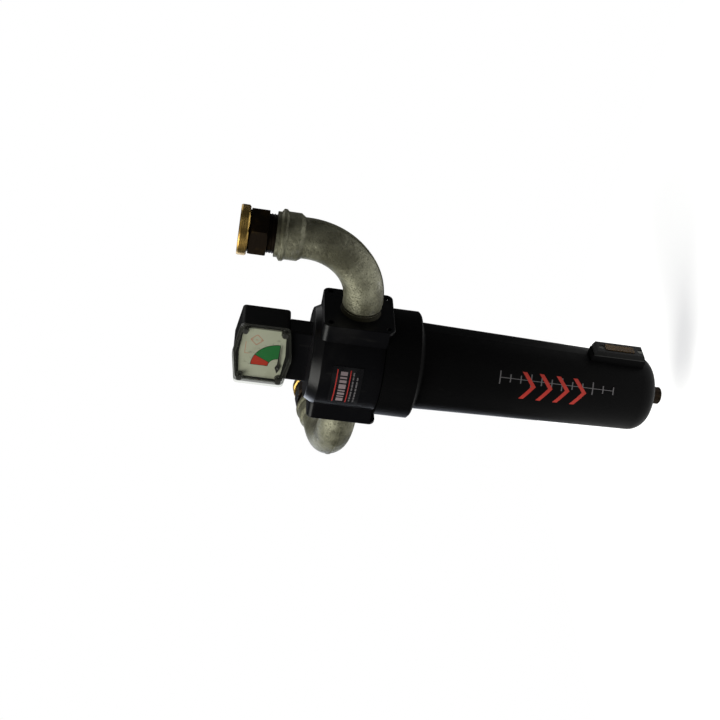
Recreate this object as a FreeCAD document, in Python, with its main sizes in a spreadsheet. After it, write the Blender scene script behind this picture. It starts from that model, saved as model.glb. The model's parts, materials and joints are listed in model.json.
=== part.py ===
"""Inline compressed-air filter: cast head with two screwed elbows, screwed bowl with its element,
float drain and level glass, and a differential-pressure gauge on top.

Frame: +Z up, the two ports on the X axis, dial and label facing -Y. The origin is where the
port axis meets the bowl's axis. All sizes are millimetres and live in the sheet "Sizes".
"""
import FreeCAD, Part
import os
import re
import Sketcher

Vector = FreeCAD.Vector
X, Y, Z = Vector(1, 0, 0), Vector(0, 1, 0), Vector(0, 0, 1)

# Driving sizes, one name each. Heights are measured from the port axis: up for the head and gauge,
# and down for what ends in "drop".
SIZES = {
    # fits
    "gap": 0.3, "running_gap": 0.08, "seat_gap": 0.05,
    # head casting
    "head_radius": 46, "head_top": 38.5, "shoulder_radius": 41, "shoulder_height": 9,
    "shoulder_round": 1.2,
    "head_drop": 25.5, "flange_face": 52.5, "flange_half_y": 29.5, "flange_top": 33, "flange_low": 30.3,
    "flange_corner": 6, "flange_edge": 0.8,
    "port_thread_radius": 16.7, "port_depth": 20, "passage_radius": 12.4,
    "bolt_spacing_y": 47.5, "bolt_spacing_z": 51, "bolt_lift": 1,
    "bolt_hole_radius": 2.5, "bolt_far_inset": 1.5, "bolt_hole_depth": 8,
    "chamber_radius": 36, "chamber_roof_drop": 18, "boss_radius": 20, "boss_drop": 32,
    "element_bore_radius": 13, "outlet_well_radius": 7, "outlet_well_x": 27,
    "duct_radius": 1.8, "duct_x": 17,
    # bowl thread, skirt and seal
    "spigot_radius": 44, "spigot_drop": 45, "land_radius": 41.6, "land_drop": 50.6,
    "skirt_radius": 49, "skirt_drop": 57.5, "skirt_chamfer": 1.5, "skirt_flare": 4,
    "seal_ledge_drop": 54, "seal_cord_radius": 1.6, "seal_radius": 39.3,
    # bowl
    "bowl_top_radius": 39.7, "bowl_low_radius": 34.7, "bowl_wall": 3.2, "bowl_wall_drop": 276,
    "bowl_drop": 285.5, "bowl_floor": 5, "bowl_knuckle": 17, "bowl_boss_radius": 12,
    "drain_hole_radius": 8.2,
    # filter element
    "cap_radius": 26, "cap_height": 8, "element_top_drop": 36, "element_drop": 238,
    "core_radius": 13.5, "core_wall": 1.2, "outer_tube_radius": 24.6, "sock_radius": 28,
    "sock_inner_radius": 25, "cap_neck_radius": 12.6, "cap_neck_drop": 23, "cap_hole_radius": 9,
    "element_seal_cord": 0.95, "neck_groove": 1.6, "element_seal_drop": 27,
    # float drain
    "drain_disc_radius": 14, "drain_disc_height": 3, "drain_tube_radius": 3,
    "drain_tube_top_drop": 242, "drain_bore_radius": 2.0, "drain_nose_radius": 5,
    "drain_nose_drop": 290.8, "float_radius": 14, "float_height": 22, "float_travel": 6,
    "stem_radius": 1.5, "stem_top_drop": 248, "stem_end_drop": 288.8, "stem_travel": 1.5,
    "knob_radius": 8, "knob_drop": 294, "knob_flutes": 10, "knob_flute_radius": 1.2,
    "outlet_radius": 2.2, "drain_seal_cord": 0.9,
    # level glass
    "glass_face_x": 47, "glass_seat_x": 41.5, "glass_half_width": 7.5, "glass_top_drop": 217,
    "glass_bottom_drop": 264.5, "glass_slope": 2, "gasket_thickness": 0.8,
    "window_top_drop": 227, "window_bottom_drop": 254, "window_half_width": 4,
    "window_proud": 0.6, "glass_screw_inset": 6.5, "glass_screw_radius": 1.5,
    "glass_screw_head": 2.7, "level_hole_radius": 2,
    # elbows: long-sweep bends, female at the far end
    "bend_radius": 57.2, "bend_leg": 118, "pipe_radius": 17.5, "pipe_bore": 13.5,
    "male_radius": 16.6, "male_length": 17, "thread_shown": 6.5,
    "socket_start": 60.5, "socket_radius": 20.3, "socket_shoulder": 4, "socket_end": 84,
    "bead_radius": 22, "bead_width": 6, "bead_back": 3, "bead_round": 0.7, "socket_rim_radius": 19.3,
    "socket_thread_radius": 16.7, "socket_thread_depth": 19, "seam_height": 0.6,
    "seam_width": 1.6, "elbow_a_turn": 0, "elbow_b_turn": -82, "elbow_a_reach": 0,
    "elbow_b_reach": 9.5,
    # adaptors screwed into the elbows
    "adaptor_thread_length": 15, "adaptor_neck_radius": 16.2, "hex_start": 91, "hex_end": 106,
    "hex_flats": 38, "hex_chamfer": 1.5,
    "adaptor_end": 115, "adaptor_end_radius": 17.6, "adaptor_bore": 15.15,
    "adaptor_bore_depth": 16, "collar_radius": 21.3, "collar_start": 107, "collar_lip": 1.2,
    "thread_tape_radius": 18.2, "thread_tape_length": 3,
    # gauge
    "neck_half_x": 27, "neck_half_y": 10.5, "gauge_bottom": 58.3, "gauge_half_x": 31,
    "gauge_half_z": 22, "gauge_peak": 4.6, "gauge_back_y": 18, "gauge_front_y": 11.5,
    "cover_face_y": 17.8, "cover_wall": 2.4, "cover_corner": 4, "gauge_inset": 0.8,
    "gauge_z": 80.4, "dial_y": 11, "dial_thickness": 0.8, "dial_half_x": 27.6,
    "dial_half_z": 18.6, "pivot_x": 13.4, "pivot_z": 65, "needle_length": 24.2, "needle_tail": 6,
    "needle_y": 13, "needle_thickness": 0.5, "needle_half_width": 2.4, "spindle_radius": 0.9,
    "cover_screw_x": 26, "cover_screw_z": 17.6, "cover_post_radius": 3.5,
    "cover_screw_radius": 1.4, "cover_screw_head": 2.6, "cover_screw_length": 14,
    "piston_z": 49, "piston_radius": 5, "piston_length": 14, "piston_travel": 5,
    "piston_bore_end": 21, "magnet_radius": 2.6, "magnet_length": 6, "spring_radius": 4,
    "spring_wire": 0.5, "neck_screw_x": 24, "neck_screw_radius": 1.9, "neck_screw_head": 2.6,
    "neck_screw_end": 26, "duct_seal_radius": 3.4, "duct_seal_cord": 0.9,
    # label
    "label_angle": 25.5, "label_thickness": 0.4, "label_bottom": -8, "label_top": 19,
}

doc = FreeCAD.newDocument("air_filter")
sheet = doc.addObject("Spreadsheet::Sheet", "Sizes")
for line, (alias, number) in enumerate(SIZES.items(), start=1):
    sheet.set(f"A{line}", alias)
    sheet.set(f"B{line}", str(number))
    sheet.setAlias(f"B{line}", alias)
doc.recompute()

NODES = []


def linked(text):
    """The expression with every size's name tied to its cell."""
    return re.sub(r"[a-z][a-z0-9_]+", lambda word: tie(word.group()), text)


def tie(word):
    return f"Sizes.{word}" if word in SIZES else word


def size(text):
    """The number that an expression has now."""
    return float(sheet.evalExpression(linked(text)))


def bind(thing, **expressions):
    for name, text in expressions.items():
        thing.setExpression(name, linked(text))
    return thing


def place(thing, at, axis=Z):
    """Turn the thing's own Z to the axis, then tie its place to the sheet."""
    thing.Placement = FreeCAD.Placement(Vector(), FreeCAD.Rotation(Z, axis))
    for letter, text in zip("xyz", at):
        if text != "0":
            thing.setExpression(f"Placement.Base.{letter}", linked(text))
    return thing


def node(name, thing):
    """Make the thing the piece of that name."""
    thing.Label = name
    NODES.append(thing)
    return thing


def cylinder(radius, height, at=("0", "0", "0"), axis=Z):
    return place(bind(doc.addObject("Part::Cylinder", "rod"), Radius=radius, Height=height), at, axis)


def ring(radius, cord, at=("0", "0", "0"), axis=Z):
    return place(bind(doc.addObject("Part::Torus", "ring"), Radius1=radius, Radius2=cord), at, axis)


def box(x, y, z):
    """A box between two expressions along each axis."""
    block = doc.addObject("Part::Box", "block")
    lengths = [f"({high}) - ({low})" for low, high in (x, y, z)]
    bind(block, Length=lengths[0], Width=lengths[1], Height=lengths[2])
    return place(block, (x[0], y[0], z[0]))


def fuse(*shapes):
    joined = doc.addObject("Part::MultiFuse", "joined")
    joined.Shapes = list(shapes)
    joined.Refine = True
    return joined


def cut(base, *tools):
    whole = doc.addObject("Part::Cut", "cut")
    whole.Base = base
    whole.Tool = fuse(*tools) if len(tools) > 1 else tools[0]
    return whole


def common(first, second):
    shared = doc.addObject("Part::Common", "shared")
    shared.Base, shared.Tool = first, second
    return shared


def origin_plane(body, role):
    return [feature for feature in body.Origin.OriginFeatures if feature.Role == role][0]


def outline_sketch(body, role, points):
    """A closed outline of straight lines, each corner tied to the sheet."""
    sketch = body.newObject("Sketcher::SketchObject", "outline")
    sketch.AttachmentSupport = (origin_plane(body, role), [""])
    sketch.MapMode = "FlatFace"
    corners = [Vector(size(u), size(v), 0) for u, v in points]
    total = len(corners)
    for index in range(total):
        sketch.addGeometry(Part.LineSegment(corners[index], corners[(index + 1) % total]))
    for index in range(total):
        sketch.addConstraint(Sketcher.Constraint("Coincident", index, 2, (index + 1) % total, 1))
    for index, (point, corner) in enumerate(zip(points, corners)):
        tie_corner(sketch, index, "DistanceX", point[0], corner.x, -2)
        tie_corner(sketch, index, "DistanceY", point[1], corner.y, -1)
    return sketch


def tie_corner(sketch, index, kind, text, number, zero_axis):
    if text == "0":
        sketch.addConstraint(Sketcher.Constraint("PointOnObject", index, 1, zero_axis))
        return
    made = sketch.addConstraint(Sketcher.Constraint(kind, -1, 1, index, 1, number))
    sketch.setExpression(f"Constraints[{made}]", linked(text))


def turned(points, at=("0", "0", "0"), axis=Z, rounds=()):
    """A turned piece: an outline of (radius, height) revolved about its own Z. Each round is
    (radius of the edge, its height, fillet radius)."""
    body = doc.addObject("PartDesign::Body", "turned")
    sketch = outline_sketch(body, "XZ_Plane", points)
    turn = body.newObject("PartDesign::Revolution", "turn")
    turn.Profile = sketch
    turn.ReferenceAxis = (sketch, ["V_Axis"])
    turn.Angle = 360
    doc.recompute()
    for radius, height, fillet in rounds:
        turn = round_edge(body, turn, size(radius), size(height), fillet)
    return place(body, at, axis)


def round_edge(body, base, radius, height, fillet):
    """Round the circular edge of that radius and height."""
    for number, edge in enumerate(base.Shape.Edges, start=1):
        curve = edge.Curve
        if not isinstance(curve, Part.Circle):
            continue
        if abs(curve.Radius - radius) < 0.01 and abs(curve.Center.z - height) < 0.01:
            rounded = body.newObject("PartDesign::Fillet", "rounded")
            rounded.Base = (base, [f"Edge{number}"])
            bind(rounded, Radius=fillet)
            doc.recompute()
            return rounded
    raise ValueError(f"no edge of radius {radius} at {height}")


def plate(points, depth, at, axis, corners=None):
    """A flat piece: an outline pushed along its own Z, with its long edges rounded."""
    body = doc.addObject("PartDesign::Body", "plate")
    sketch = outline_sketch(body, "XY_Plane", points)
    pad = body.newObject("PartDesign::Pad", "push")
    pad.Profile = sketch
    bind(pad, Length=depth)
    doc.recompute()
    if corners:
        upright = [f"Edge{number}" for number, edge in enumerate(pad.Shape.Edges, start=1)
                   if abs(edge.tangentAt(edge.FirstParameter).z) > 0.99]
        rounded = body.newObject("PartDesign::Fillet", "rounded")
        rounded.Base = (pad, upright)
        bind(rounded, Radius=corners)
        doc.recompute()
    return place(body, at, axis)


def profile(points, width):
    """A plate whose outline is drawn in X and Z, standing evenly either side of the XZ plane."""
    slab = plate(points, width, ("0", "0", "0"), Z)
    slab.Placement = FreeCAD.Placement(Vector(), FreeCAD.Rotation(X, 90))
    slab.setExpression("Placement.Base.y", linked(f"({width}) / 2"))
    return slab


def tube(outer, inner, low, high):
    """A plain sleeve about Z from low to high."""
    return turned([(inner, low), (outer, low), (outer, high), (inner, high)])


# ---- head -------------------------------------------------------------------------------------

def make_head():
    """The casting: round body with a bevelled shoulder, a square flange round each port, and the
    threaded spigot that the bowl screws on to."""
    barrel = turned([
        ("0", "-land_drop"), ("land_radius", "-land_drop"), ("land_radius", "-spigot_drop"),
        ("spigot_radius", "-spigot_drop"), ("spigot_radius", "-head_drop"),
        ("head_radius", "-head_drop"), ("head_radius", "head_top - shoulder_height"),
        ("shoulder_radius", "head_top"), ("0", "head_top")],
        rounds=[("head_radius", "head_top - shoulder_height", "shoulder_round"),
                ("shoulder_radius", "head_top", "shoulder_round"),
                ("head_radius", "-head_drop", "flange_edge")])
    across = box(("-flange_face", "flange_face"), ("-flange_half_y", "flange_half_y"),
                 ("-flange_low", "flange_top"))
    doc.recompute()
    block = doc.addObject("Part::Fillet", "flanges")
    block.Base = across
    edges = []
    for number, edge in enumerate(across.Shape.Edges, start=1):
        along = abs(edge.tangentAt(edge.FirstParameter).x) > 0.99
        round_by = size("flange_corner" if along else "flange_edge")
        edges.append((number, round_by, round_by))
    block.Edges = edges
    over_skirt = box(("-skirt_radius - gap * 2", "skirt_radius + gap * 2"),
                     ("-flange_face", "flange_face"), ("-skirt_drop", "-head_drop"))
    solid = fuse(barrel, cut(block, over_skirt))
    chamber = turned([
        ("boss_radius", "-chamber_roof_drop"), ("boss_radius", "-boss_drop"), ("0", "-boss_drop"),
        ("0", "-land_drop - 1"), ("chamber_radius", "-land_drop - 1"),
        ("chamber_radius", "-chamber_roof_drop")])
    hollows = [
        chamber,
        cylinder("element_bore_radius", "boss_drop + 1", ("0", "0", "-boss_drop - 1")),
        cylinder("passage_radius", "flange_face", ("-flange_face", "0", "0"), X),
        cylinder("passage_radius", "flange_face - outlet_well_x + outlet_well_radius + 1",
                 ("outlet_well_x - outlet_well_radius - 1", "0", "0"), X),
        cylinder("outlet_well_radius", "chamber_roof_drop + 1",
                 ("outlet_well_x", "0", "-chamber_roof_drop - 1")),
    ]
    for side in ("", "-"):
        direction = X if side else -X
        inset = " - bolt_far_inset" if side else ""
        hollows.append(cylinder("port_thread_radius", "port_depth + 1",
                                (f"{side}(flange_face + 1)", "0", "0"), direction))
        hollows.append(cylinder("duct_radius", "head_top + 1", (f"{side}duct_x", "0", "0")))
        hollows.append(cylinder("neck_screw_radius", "head_top + 1 - neck_screw_end",
                                (f"{side}neck_screw_x", "0", "neck_screw_end")))
        for across_y in (-0.5, 0.5):
            for up_z in (-0.5, 0.5):
                hollows.append(cylinder(
                    "bolt_hole_radius", "bolt_hole_depth + 1",
                    (f"{side}(flange_face + 1)", f"(bolt_spacing_y{inset}) * {across_y}",
                     f"bolt_lift + (bolt_spacing_z{inset}) * {up_z}"), direction))
    node("head_casting", cut(solid, *hollows))


def make_label():
    """A thin printed foil bent round the front of the head."""
    sleeve = turned([
        ("head_radius", "label_bottom"), ("head_radius + label_thickness", "label_bottom"),
        ("head_radius + label_thickness", "label_top"), ("head_radius", "label_top")])
    front = box(("-head_radius * sin(label_angle * 1deg)", "head_radius * sin(label_angle * 1deg)"),
                ("-head_radius * 2", "0"), ("label_bottom", "label_top"))
    node("head_label", common(sleeve, front))


# ---- elbows and adaptors ----------------------------------------------------------------------

def outer(side, text):
    """The expression, mirrored for the port on the -X side."""
    return text if side > 0 else f"-({text})"


def aim(letter, thing):
    """Turn a piece of the upright elbow's assembly about the port axis to where its leg points."""
    turn = size(f"elbow_{letter}_turn")
    if turn:
        thing.Placement = FreeCAD.Placement(Vector(), FreeCAD.Rotation(X, turn))
        thing.setExpression("Placement.Rotation.Angle", linked(f"elbow_{letter}_turn"))
    return thing


def make_elbow(letter, side):
    """A long-sweep bend: male thread in the port, quarter-turn bend, female socket with a bead."""
    outward = X * side
    corner_x = f"bend_leg - bend_radius + elbow_{letter}_reach"
    leg_x = outer(side, f"bend_leg + elbow_{letter}_reach")
    male_end = "flange_face + gap - male_length"

    def bend(radius):
        quarter = bind(doc.addObject("Part::Torus", "bend"), Radius1="bend_radius", Radius2=radius)
        quarter.Angle3 = 90
        # a torus lies in its own XY plane and sweeps from its X towards its Y
        quarter.Placement = FreeCAD.Placement(Vector(), FreeCAD.Rotation(-Z, outward, Vector(), "XYZ"))
        quarter.setExpression("Placement.Base.x", linked(outer(side, corner_x)))
        quarter.setExpression("Placement.Base.z", linked("bend_radius"))
        return quarter

    socket = turned([
        ("0", "bend_radius"), ("pipe_radius", "bend_radius"), ("pipe_radius", "socket_start"),
        ("socket_radius", "socket_start + socket_shoulder"),
        ("socket_radius", "socket_end - bead_back - bead_width"),
        ("bead_radius", "socket_end - bead_back - bead_width * 0.7"),
        ("bead_radius", "socket_end - bead_back - bead_width * 0.3"),
        ("socket_rim_radius", "socket_end - bead_back"), ("socket_rim_radius", "socket_end"),
        ("0", "socket_end")], (leg_x, "0", "0"),
        rounds=[("socket_radius", "socket_start + socket_shoulder", "bead_round * 2"),
                ("pipe_radius", "socket_start", "bead_round * 2"),
                ("socket_radius", "socket_end - bead_back - bead_width", "bead_round"),
                ("bead_radius", "socket_end - bead_back - bead_width * 0.7", "bead_round"),
                ("bead_radius", "socket_end - bead_back - bead_width * 0.3", "bead_round")])
    body = [
        cylinder("male_radius", f"{corner_x} - ({male_end})",
                 (outer(side, male_end), "0", "0"), outward),
        cylinder("pipe_radius", f"{corner_x} - ({male_end}) - male_length - thread_shown",
                 (outer(side, f"{male_end} + male_length + thread_shown"), "0", "0"), outward),
        bend("pipe_radius"), socket, seam(side, corner_x)]
    hollows = [
        cylinder("pipe_bore", f"{corner_x} - ({male_end}) + 1",
                 (outer(side, f"{male_end} - 1"), "0", "0"), outward),
        bend("pipe_bore"),
        cylinder("pipe_bore", "socket_end - bend_radius", (leg_x, "0", "bend_radius")),
        cylinder("socket_thread_radius", "socket_thread_depth + 1",
                 (leg_x, "0", "socket_end - socket_thread_depth"))]
    node(f"elbow_{letter}", aim(letter, cut(fuse(*body), *hollows)))


def seam(side, corner_x):
    """The low moulding line round the bend's outside, where the two halves of the mould met."""
    centre = outer(side, corner_x)
    rim = cut(
        cylinder("bend_radius + pipe_radius + seam_height", "seam_width",
                 (centre, "seam_width / 2", "bend_radius"), Y * -1),
        cylinder("bend_radius + pipe_radius - 1", "seam_width * 2",
                 (centre, "seam_width", "bend_radius"), Y * -1))
    far = outer(side, f"{corner_x} + bend_radius + pipe_radius * 2")
    quarter = box((centre, far) if side > 0 else (far, centre), ("-seam_width", "seam_width"),
                  ("-pipe_radius * 2", "bend_radius"))
    return common(rim, quarter)


def make_adaptor(letter, side):
    """The brass adaptor in the elbow's socket and the round collar on its end."""
    foot = (outer(side, f"bend_leg + elbow_{letter}_reach"), "0", "0")

    def up(height):
        return (foot[0], "0", height)

    shank = turned([
        ("pipe_bore", "socket_end - adaptor_thread_length"),
        ("male_radius", "socket_end - adaptor_thread_length"), ("male_radius", "socket_end + gap"),
        ("adaptor_neck_radius", "socket_end + gap"), ("adaptor_neck_radius", "hex_start + 1"),
        ("adaptor_end_radius", "hex_start + 1"), ("adaptor_end_radius", "adaptor_end"),
        ("adaptor_bore", "adaptor_end"), ("adaptor_bore", "adaptor_end - adaptor_bore_depth"),
        ("pipe_bore", "adaptor_end - adaptor_bore_depth")], foot)
    prism = bind(doc.addObject("Part::Prism", "hexagon"), Circumradius="hex_flats / sqrt(3)",
                 Height="hex_end - hex_start")
    prism.Polygon = 6
    place(prism, up("hex_start"))
    trim = turned([
        ("adaptor_bore + 1", "hex_start"), ("hex_flats / 2", "hex_start"),
        ("hex_flats / sqrt(3)", "hex_start + hex_chamfer"),
        ("hex_flats / sqrt(3)", "hex_end - hex_chamfer"), ("hex_flats / 2", "hex_end"),
        ("adaptor_bore + 1", "hex_end")], foot)
    node(f"adaptor_{letter}", aim(letter, fuse(shank, common(prism, trim))))
    inner = "adaptor_end_radius + seat_gap"
    collar = turned([
        (inner, "collar_start"), ("collar_radius - collar_lip", "collar_start"),
        ("collar_radius", "collar_start + collar_lip"), ("collar_radius", "adaptor_end - collar_lip"),
        ("collar_radius - collar_lip / 2", "adaptor_end"), (inner, "adaptor_end")], foot)
    node(f"collar_{letter}", aim(letter, collar))


def make_tape(letter, outward):
    """Sealing tape squeezed out of the port's mouth."""
    node(f"thread_tape_{letter}", turned([
        ("male_radius + seat_gap", "flange_face + seat_gap"),
        ("thread_tape_radius", "flange_face + seat_gap"),
        ("male_radius + seat_gap * 4", "flange_face + thread_tape_length"),
        ("male_radius + seat_gap", "flange_face + thread_tape_length")], axis=outward))


# ---- bowl -------------------------------------------------------------------------------------

def make_bowl():
    """One casting: threaded skirt, tapering barrel, rounded end and the seat for the level glass."""
    outside = turned([
        ("0", "-bowl_drop"), ("bowl_boss_radius", "-bowl_drop"),
        ("bowl_low_radius", "-bowl_wall_drop"), ("bowl_top_radius", "-skirt_drop"),
        ("skirt_radius - skirt_chamfer", "-skirt_drop"),
        ("skirt_radius", "-skirt_drop + skirt_chamfer"), ("skirt_radius", "-head_drop - gap"),
        ("0", "-head_drop - gap")],
        rounds=[("bowl_low_radius", "-bowl_wall_drop", "bowl_knuckle"),
                ("bowl_top_radius", "-skirt_drop", "skirt_flare")])
    seat = profile([
        ("0", "-glass_bottom_drop - 1"), ("glass_seat_x", "-glass_bottom_drop - 1"),
        ("glass_seat_x", "-glass_top_drop + 1"), ("0", "-glass_top_drop + 5")],
        "glass_half_width * 2")
    inside = turned([
        ("0", "-bowl_drop + bowl_floor"), ("bowl_boss_radius", "-bowl_drop + bowl_floor"),
        ("bowl_low_radius - bowl_wall", "-bowl_wall_drop + bowl_floor"),
        ("bowl_top_radius - bowl_wall", "-seal_ledge_drop"),
        ("land_radius + gap", "-seal_ledge_drop"), ("land_radius + gap", "-spigot_drop - gap"),
        ("spigot_radius + gap", "-spigot_drop - gap"), ("spigot_radius + gap", "0"), ("0", "0")],
        rounds=[("bowl_low_radius - bowl_wall", "-bowl_wall_drop + bowl_floor",
                 "bowl_knuckle - bowl_wall")])
    hollows = [inside, cylinder("drain_hole_radius", "bowl_floor + 2", ("0", "0", "-bowl_drop - 1"))]
    for drop in ("window_top_drop + 3", "window_bottom_drop - 3"):
        hollows.append(cylinder("level_hole_radius", "glass_seat_x", ("10", "0", f"-({drop})"), X))
    for drop in screw_drops():
        hollows.append(cylinder("glass_screw_radius", "6", ("glass_seat_x - 5.5", "0", drop), X))
    node("bowl", cut(fuse(outside, seat), *hollows))
    node("bowl_o_ring", ring("seal_radius", "seal_cord_radius",
                             ("0", "0", "-seal_ledge_drop + seal_cord_radius + seat_gap")))


def screw_drops():
    """Heights of the level glass's two screws."""
    return ("-glass_top_drop - glass_screw_inset", "-glass_bottom_drop + glass_screw_inset * 0.65")


def make_level_glass():
    """The window block on the bowl's side: gasket, amber glass, black frame and two screws."""
    low, high = "-glass_bottom_drop", "-glass_top_drop"
    frame_x = "glass_seat_x + gasket_thickness"
    frame = profile([
        (frame_x, low), (f"{frame_x} + 1", low), ("glass_face_x", f"{low} + glass_slope"),
        ("glass_face_x", f"{high} - glass_slope"), (f"{frame_x} + 1", high), (frame_x, high)],
        "glass_half_width * 2")
    slot_y = ("-window_half_width - seat_gap", "window_half_width + seat_gap")
    slot = box(("glass_seat_x", "glass_face_x + 1"), slot_y,
               ("-window_bottom_drop - seat_gap", "-window_top_drop + seat_gap"))
    screws, holes = [], [slot]
    for drop in screw_drops():
        holes.append(cylinder("glass_screw_radius + seat_gap", "20", ("glass_seat_x", "0", drop), X))
        holes.append(cylinder("glass_screw_head + seat_gap", "20", ("glass_face_x - 2.6", "0", drop), X))
        screws.append(cylinder("glass_screw_radius - seat_gap", "glass_face_x - glass_seat_x + 2.5",
                               ("glass_seat_x - 5", "0", drop), X))
        screws.append(cylinder("glass_screw_head", "2", ("glass_face_x - 2.6", "0", drop), X))
    node("level_glass_frame", cut(frame, *holes))
    node("level_glass_screws", fuse(*screws))
    glass = box((frame_x, "glass_face_x + window_proud"), ("-window_half_width", "window_half_width"),
                ("-window_bottom_drop", "-window_top_drop"))
    hollow = box(("glass_seat_x - 1", "glass_face_x - 1.6"),
                 ("-window_half_width + 1.2", "window_half_width - 1.2"),
                 ("-window_bottom_drop + 1.2", "-window_top_drop - 1.2"))
    node("level_glass", cut(glass, hollow))
    sheet_gasket = box(("glass_seat_x", frame_x), ("-glass_half_width", "glass_half_width"), (low, high))
    openings = [hollow] + [
        cylinder("glass_screw_radius + seat_gap", "3", ("glass_seat_x - 1", "0", drop), X)
        for drop in screw_drops()]
    node("level_glass_gasket", cut(sheet_gasket, *openings))


# ---- filter element ---------------------------------------------------------------------------

def make_element():
    """Air comes down the neck into the core and goes out through the media and the foam sock."""
    top, bottom = "-element_top_drop", "-element_drop"
    media_top, media_bottom = "-element_top_drop - cap_height + 2", "-element_drop + cap_height - 2"
    groove_low = "-element_seal_drop - element_seal_cord - seat_gap"
    groove_high = "-element_seal_drop + element_seal_cord + seat_gap"
    node("element_top_cap", turned([
        ("cap_hole_radius", f"{top} - cap_height + 2 + seat_gap"),
        ("cap_radius", f"{top} - cap_height + 2 + seat_gap"), ("cap_radius", top),
        ("cap_neck_radius", top), ("cap_neck_radius", groove_low),
        ("cap_neck_radius - neck_groove", groove_low),
        ("cap_neck_radius - neck_groove", groove_high), ("cap_neck_radius", groove_high),
        ("cap_neck_radius", "-cap_neck_drop"), ("cap_hole_radius", "-cap_neck_drop")]))
    node("element_o_ring", ring("cap_neck_radius - neck_groove + element_seal_cord + seat_gap",
                                "element_seal_cord", ("0", "0", "-element_seal_drop")))
    node("element_bottom_cap", turned([
        ("0", bottom), ("cap_radius", bottom), ("cap_radius", f"{media_bottom} - seat_gap"),
        ("0", f"{media_bottom} - seat_gap")]))
    node("element_core_tube", tube("core_radius", "core_radius - core_wall", media_bottom, media_top))
    node("element_media", tube("outer_tube_radius - core_wall - seat_gap", "core_radius + seat_gap",
                               media_bottom, media_top))
    node("element_outer_tube", tube("outer_tube_radius", "outer_tube_radius - core_wall",
                                    media_bottom, media_top))
    node("element_foam_sock", tube("sock_radius", "sock_inner_radius",
                                   f"{media_bottom} + 1", f"{media_top} - 1"))


# ---- drain ------------------------------------------------------------------------------------

def make_drain():
    """Float drain: guide tube and disc, float, valve stem, seal and the knob under the bowl."""
    floor = "-bowl_drop + bowl_floor"
    node("drain_body", turned([
        ("drain_bore_radius", "-drain_nose_drop"), ("drain_nose_radius", "-drain_nose_drop"),
        ("drain_nose_radius", "-bowl_drop + seat_gap"),
        ("drain_hole_radius - seat_gap", "-bowl_drop + seat_gap"),
        ("drain_hole_radius - seat_gap", f"{floor} + drain_seal_cord * 2 + seat_gap * 2"),
        ("drain_disc_radius", f"{floor} + drain_seal_cord * 2 + seat_gap * 2"),
        ("drain_disc_radius", f"{floor} + drain_seal_cord * 2 + seat_gap * 2 + drain_disc_height"),
        ("drain_tube_radius", f"{floor} + drain_seal_cord * 2 + seat_gap * 2 + drain_disc_height"),
        ("drain_tube_radius", "-drain_tube_top_drop"), ("drain_bore_radius", "-drain_tube_top_drop")]))
    node("drain_o_ring", ring("drain_hole_radius + drain_seal_cord + 0.2", "drain_seal_cord",
                              ("0", "0", f"{floor} + drain_seal_cord + seat_gap")))
    seat = f"{floor} + drain_seal_cord * 2 + seat_gap * 3 + drain_disc_height"
    node("drain_float", tube("float_radius", "drain_tube_radius + gap", seat, f"{seat} + float_height"))
    node("drain_stem", cylinder("stem_radius", "stem_end_drop - stem_top_drop",
                                ("0", "0", "-stem_end_drop")))
    knob = turned([
        ("0", "-knob_drop"), ("knob_radius - 1", "-knob_drop"), ("knob_radius", "-knob_drop + 1"),
        ("knob_radius", "-bowl_drop - gap - 0.6"), ("knob_radius - 0.6", "-bowl_drop - gap"),
        ("drain_nose_radius + gap", "-bowl_drop - gap"),
        ("drain_nose_radius + gap", "-drain_nose_drop - gap"), ("0", "-drain_nose_drop - gap")])
    flutes = []
    for number in range(int(SIZES["knob_flutes"])):
        turn = f"(360deg * {number} / knob_flutes)"
        flutes.append(cylinder("knob_flute_radius", "knob_drop - bowl_drop",
                               (f"(knob_radius + 0.4) * cos({turn})", f"(knob_radius + 0.4) * sin({turn})",
                                "-knob_drop + 1.6")))
    outlet = cylinder("outlet_radius", "4", ("0", "0", "-knob_drop - 0.5"))
    node("drain_knob", cut(knob, outlet, *flutes))


# ---- gauge ------------------------------------------------------------------------------------

def peaked(half_x, half_z, peak):
    """The cover's outline: a rectangle whose top and bottom rise to a blunt point."""
    return [(f"-({half_x})", f"-({half_z})"), ("0", f"-({half_z}) - {peak}"), (half_x, f"-({half_z})"),
            (half_x, half_z), ("0", f"{half_z} + {peak}"), (f"-({half_x})", half_z)]


def facing(points, depth, front_y, corners=None):
    """A plate standing upright: its outline is drawn in X and Z round the gauge's middle, and it
    reaches from front_y backwards by depth."""
    slab = plate(points, depth, ("0", "0", "0"), Z, corners)
    slab.Placement = FreeCAD.Placement(Vector(0, 0, 0), FreeCAD.Rotation(X, 90))
    slab.setExpression("Placement.Base.y", linked(f"({front_y}) + ({depth})"))
    slab.setExpression("Placement.Base.z", linked("gauge_z"))
    return slab


def cover_screw_places():
    return [(f"{right} * cover_screw_x", f"gauge_z + {up} * cover_screw_z")
            for right in (-1, 1) for up in (-1, 1)]


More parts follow.
